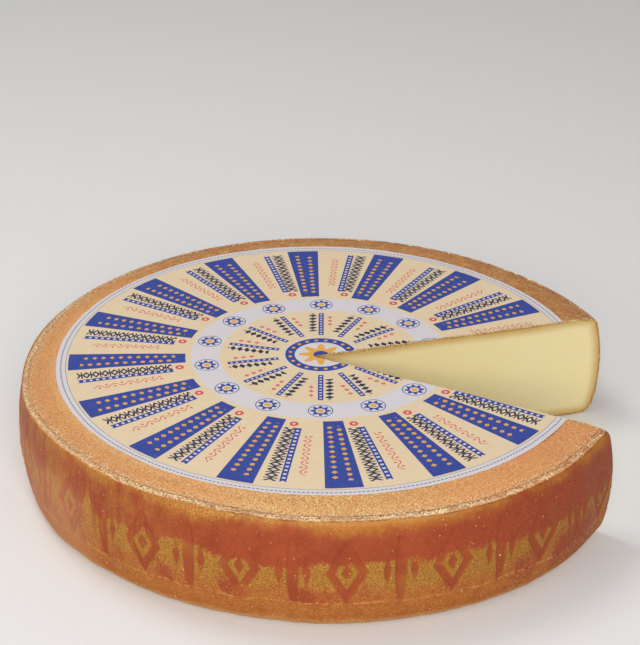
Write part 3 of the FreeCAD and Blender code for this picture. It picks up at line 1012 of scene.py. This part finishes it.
def label_finish(settings):
    """Label: cream paper printed in rings about its own middle. Every motif is plain geometry.

    r is the distance from the label's middle and each ring is cut into equal sectors. Inside a sector,
    middle is the distance across from its middle line, and motifs repeat along r. The sizes of motifs are
    in millimetres.
    """
    c, label = settings.colours, settings.label
    paper = Finish("label_paper")
    x, y, _ = paper.split(paper.place)
    x, y = x - label.centre_x, y - label.centre_y
    r = (x * x + y * y).root()
    around = y.angle(x) / (2 * math.pi) + 1

    def beyond(share):
        """How far a place is past a share of the label's radius."""
        return r - share * label.radius

    def band(low, high):
        """Ink in the ring between two shares of the label's radius."""
        return inked(beyond(low).under(high * label.radius - r))

    def sectors(count):
        """Distance across a sector from its middle line, and the width of a sector at r."""
        width = r * (2 * math.pi / count)
        return ((around * count) % 1.0 - 0.5) * width, width

    def along(pitch, shift=0.0):
        """Distance along r from the middle of a repeat."""
        return ((r / (pitch * MM) + shift) % 1.0 - 0.5) * (pitch * MM)

    def within(distance, limit):
        """Ink where a distance is below a limit."""
        return inked(limit * MM - distance)

    def strip(a, half):
        return within(abs(a), half)

    def disc(a, b, radius):
        return within((a * a + b * b).root(), radius)

    def lozenge(a, b, half_a, half_b):
        """Ink in the lozenge |a|/w + |b|/h < 1."""
        return inked((1 - abs(a) / (half_a * MM) - abs(b) / (half_b * MM)) * (min(half_a, half_b) * MM))

    # Outer field: blue bars with two rows of ochre beads; lozenges, a ladder and a red sprig between them.
    middle, width = sectors(label.outer_sectors)
    bar_half = width * 0.175
    across = middle + width * 0.28
    bar = band(0.515, 0.955) * inked(bar_half - abs(across))
    beads = disc(across - 0.42 * bar_half, along(8.5), 2.3)
    pips = lozenge(across + 0.42 * bar_half, along(8.5, 0.5), 3.0, 2.6)
    row = band(0.57, 0.925)
    across = middle - width * 0.03
    column = row * lozenge(across, along(9), 6.5, 4.4) * (1 - lozenge(across, along(9), 3.2, 1.9))
    ticks = row * strip(across, 6.4) * strip(along(9, 0.5), 0.7)
    across = middle - width * 0.155
    ladder = row * strip(across, 3.1)
    rungs = strip(across, 1.5) * strip(along(6.2), 1.3)
    across = middle - width * 0.33
    row, curl = band(0.62, 0.88), r.wave(15)
    sprig = row * strip(across - curl * (2.6 * MM), 0.75)
    leaves = row * lozenge(across + curl * (2.4 * MM), along(7.5), 2.2, 1.5)
    bud = middle - width * 0.06, beyond(0.542)
    look = paper.coats(
        c.paper,
        (paper.noise(30, 3).step(0.35, 0.7) * 0.35, PAPER_WARM),
        (bar, c.blue),
        (bar * band(0.55, 0.91) * beads.over(pips) * 0.9, c.ochre),
        (column.over(ticks), c.navy),
        (ladder, c.blue),
        (ladder * rungs, c.paper_ring),
        (sprig.over(leaves) * 0.85, c.red),
        (disc(*bud, 4.2), c.red),
        (disc(*bud, 1.5), c.paper_ring),
    )

    # Ring of stars, and an inner field of narrow rays with squares, lozenges and red pips.
    across, up = sectors(label.stars)[0], beyond(0.44)
    far = (across * across + up * up).root()
    star = inked((up.angle(across) * 8).cosine() * (1.7 * MM) + 8.0 * MM - far)
    middle = sectors(label.inner_sectors)[0]
    ray = band(0.165, 0.36) * strip(middle, 2.6)
    look = paper.coats(
        look,
        (band(0.385, 0.495), c.paper_ring),
        (star.over(strip(far - 11.3 * MM, 0.45)), c.blue),
        (within(far, 4.6), c.paper_ring),
        (within(far, 3.2), c.ochre),
        (ray, c.blue),
        (ray * strip(middle, 1.2) * strip(along(5.4), 1.1), c.paper_ring),
        (band(0.20, 0.36) * lozenge(middle - 8.5 * MM, along(7), 4.6, 3.2), c.navy),
        (band(0.24, 0.345) * lozenge(middle + 9.0 * MM, along(8), 2.6, 3.0) * 0.85, c.red),
    )

    # Middle: a blue ring with ochre beads round a rosette. Rim: a pale ring with a fine dashed line.
    petals = (around * (2 * math.pi * 8)).cosine()
    dash, width = sectors(400)
    dashes = strip(beyond(0.982), 0.7) * inked(width * 0.34 - abs(dash))
    look = paper.coats(
        look,
        (inked(0.142 * label.radius - r), c.paper_ring),
        (band(0.100, 0.136), c.blue),
        (disc(sectors(20)[0], beyond(0.118), 1.9), c.ochre),
        (inked(petals * (5 * MM) + 17 * MM - r), c.ochre),
        (within(r, 7.5), c.blue),
        (inked(beyond(0.962)), c.paper_ring),
        (dashes.over(strip(beyond(0.964), 0.3)) * 0.7, c.navy),
    )

    # Wear: ink is thinner on high grain, and the paper is slightly mottled.
    fibre, cloud = paper.noise(1.1, 2, 0.6), paper.noise(9, 3)
    look = paper.coats(
        look,
        ((fibre.step(0.56, 0.80) * 0.20).over(cloud.step(0.62, 0.85) * 0.10), PAPER_WORN),
        ((1 - fibre.step(0.22, 0.46)) * 0.16, PAPER_GRIME),
    )
    paper.bump((fibre * 0.10 + cloud * 0.25) * MM, 0.8)
    paper.set(base_color=look, roughness=0.66 + (cloud - 0.5) * 0.2, specular_ior_level=0.3)
    return paper.material


def floor_finish(settings):
    """Floor: matt and pale."""
    floor = Finish("floor")
    look = floor.mix(floor.noise(400) * 0.2, settings.colours.floor, FLOOR_SHADE)
    floor.set(base_color=look, roughness=0.9, specular_ior_level=0.1)
    return floor.material


# ---- operators

def settings_of(context):
    return context.scene.cheese_wheel


def anywhere(random, wheel, count):
    """Random directions all round the wheel, just clear of the cuts."""
    ends = wheel.back_cut + CRUMBS_BACK, 2 * math.pi - wheel.front_cut - CRUMBS_BACK
    return random.uniform(*ends, count)


class CHEESE_OT_rind(bpy.types.Operator):
    """Make the rind: the side with its seam and pressed marks, the top and the underside"""

    bl_idname = "cheese.rind"
    bl_label = "Rind"

    def execute(self, context):
        settings = settings_of(context)
        section = Section(settings.wheel)
        finishes = (rind_finish(settings), rind_cut_finish(settings))
        columns, columns_under = 1000, 220
        foot, start = section.foot, section.start
        end = foot + 8 * MM
        side = steps((0, 6 * MM, 0.75 * MM), (6 * MM, foot - MM, 1.6 * MM), (foot - MM, end, 3 * MM))
        rind_shell(settings, "rind_side", finishes, side, steps((0, end, 16 * MM)), columns)
        top = steps(
            (start, -60 * MM, 40 * MM), (-60 * MM, -33 * MM, 6 * MM),
            (-33 * MM, -6 * MM, 1.5 * MM), (-6 * MM, 0, 0.75 * MM),
        )
        rind_shell(settings, "rind_top", finishes, top, steps((start, 0, 36 * MM)), columns)
        base, wall = (steps((foot + 7.5 * MM, section.end, step * MM)) for step in (9, 40))
        rind_shell(settings, "rind_base", finishes, base, wall, columns_under)
        return {"FINISHED"}


class CHEESE_OT_paste(bpy.types.Operator):
    """Make the paste, which shows at the two cut faces"""

    bl_idname = "cheese.paste"
    bl_label = "Paste"

    def execute(self, context):
        paste_piece(settings_of(context), paste_finish(settings_of(context)))
        return {"FINISHED"}


class CHEESE_OT_label(bpy.types.Operator):
    """Make the printed paper label"""

    bl_idname = "cheese.label"
    bl_label = "Label"

    def execute(self, context):
        label_sheet(settings_of(context), label_finish(settings_of(context)))
        return {"FINISHED"}


class CHEESE_OT_crumbs(bpy.types.Operator):
    """Make the crumbs of the seam, the grains on the side and the crumbs along the cuts"""

    bl_idname = "cheese.crumbs"
    bl_label = "Crumbs"

    def execute(self, context):
        settings = settings_of(context)
        wheel, c = settings.wheel, settings.colours
        random = np.random.default_rng(7)
        pale = crumb_finish("pale_crumbs", c.seam_gold, c.seam)
        turn = anywhere(random, wheel, SEAM_CRUMBS)
        v = random.normal(0.2 * MM, 1.4 * MM, len(turn))
        _, stored, _ = rind_surface(settings, turn, v)
        points, stored, _ = rind_surface(settings, turn, 2 * v - stored["off"], lift=-0.1 * MM)
        crowd = rough(points, 22 * MM, 71, 3) + random.uniform(-0.5, 0.5, len(turn))
        keep = crowd > 0.1 + 0.2 * stored["right"] + 0.4 * stored["brown"]
        size = random.gamma(4.0, 0.25, len(turn)).clip(0.5, 2.0) * MM * (1 - 0.3 * stored["left"])
        lumps("seam_crumbs", points[keep], size[keep], random, pale, -0.6 * stored["left"][keep])

        turn = anywhere(random, wheel, SIDE_GRAINS)
        v = random.uniform(10 * MM, 105 * MM, len(turn))
        points, stored, _ = rind_surface(settings, turn, v)
        keep = random.uniform(0, 1, len(turn)) < 0.15 + 0.75 * stored["bare"]
        size = random.gamma(3.0, 0.20, len(turn)).clip(0.3, 1.3) * MM
        lumps("side_grains", points[keep], size[keep], random, pale)

        cream = crumb_finish("paste_crumbs", c.paste, c.paper)
        places, sizes, count = [], [], CUT_CRUMBS
        for cut, _, inward in cuts(wheel):
            reach = random.uniform(14 * MM, wheel.radius - 4 * MM, count)
            edge = lay(wheel, cut, reach, np.full(count, wheel.height - 0.2 * MM))
            places.append(edge + inward * random.normal(0.3 * MM, 0.5 * MM, count)[:, None])
            sizes.append(random.gamma(3.0, 0.26, count).clip(0.4, 1.8) * MM)
        lumps("cut_crumbs", np.concatenate(places), np.concatenate(sizes), random, cream)
        return {"FINISHED"}


class CHEESE_OT_stage(bpy.types.Operator):
    """Make the floor, the lamps and the camera"""

    bl_idname = "cheese.stage"
    bl_label = "Stage"

    def execute(self, context):
        scene = context.scene
        mesh = bpy.data.meshes.new("floor")
        corners = [(x * FLOOR_HALF, y * FLOOR_HALF, 0) for x, y in ((-1, -1), (1, -1), (1, 1), (-1, 1))]
        mesh.from_pydata(corners, [], [(0, 1, 2, 3)])
        mesh.materials.append(floor_finish(settings_of(context)))
        floor = add_object("floor", mesh)
        for name, place, size, power in LAMPS:
            light = bpy.data.lights.new(name, "AREA")
            light.size, light.energy = size, power
            lamp = add_object(name, light)
            lamp.location = place
            aim = Vector((0, 0, WHEEL_HEIGHT / 2)) - lamp.location
            lamp.rotation_euler = aim.to_track_quat("-Z", "Y").to_euler()
        world = bpy.data.worlds.new("studio")
        world.use_nodes = True
        world.node_tree.nodes["Background"].inputs["Color"].default_value = (1, 1, 1, 1)
        world.node_tree.nodes["Background"].inputs["Strength"].default_value = WORLD_STRENGTH
        scene.world = world
        camera = bpy.data.cameras.new("camera")
        camera.lens, camera.sensor_width, camera.sensor_fit = CAMERA_LENS, CAMERA_SENSOR, "HORIZONTAL"
        camera.clip_end = CAMERA_REACH
        eye = add_object("camera", camera)
        look = Euler((math.pi / 2 - CAMERA_DOWN, 0, CAMERA_TURN)).to_matrix()
        look = look @ Matrix.Rotation(CAMERA_ROLL, 3, "Z")
        eye.matrix_world = Matrix.Translation(CAMERA_PLACE) @ look.to_4x4()
        scene.camera = eye
        scene.view_settings.view_transform = "Standard"
        return {"FINISHED"}


class CHEESE_PT_panel(bpy.types.Panel):
    """Settings and operators of the cut wheel"""

    bl_label = "Cut cheese wheel"
    bl_idname = "CHEESE_PT_panel"
    bl_space_type = "VIEW_3D"
    bl_region_type = "UI"
    bl_category = "Cheese"

    def draw(self, context):
        settings = settings_of(context)
        for group in (settings.wheel, settings.marks, settings.label, settings.colours):
            box = self.layout.box()
            for key in group.__annotations__:
                box.prop(group, key)
        for operator in OPERATORS:
            self.layout.operator(operator.bl_idname)


OPERATORS = (CHEESE_OT_rind, CHEESE_OT_paste, CHEESE_OT_label, CHEESE_OT_crumbs, CHEESE_OT_stage)
CLASSES = (WheelSizes, MarkSizes, LabelSizes, CheeseColours, CheeseSettings, *OPERATORS, CHEESE_PT_panel)


def register():
    for cls in CLASSES:
        bpy.utils.register_class(cls)
    bpy.types.Scene.cheese_wheel = PointerProperty(type=CheeseSettings)


def unregister():
    del bpy.types.Scene.cheese_wheel
    for cls in reversed(CLASSES):
        bpy.utils.unregister_class(cls)


def main():
    register()
    bpy.ops.cheese.rind()
    bpy.ops.cheese.paste()
    bpy.ops.cheese.label()
    bpy.ops.cheese.crumbs()
    bpy.ops.cheese.stage()


if __name__ == "__main__":
    main()
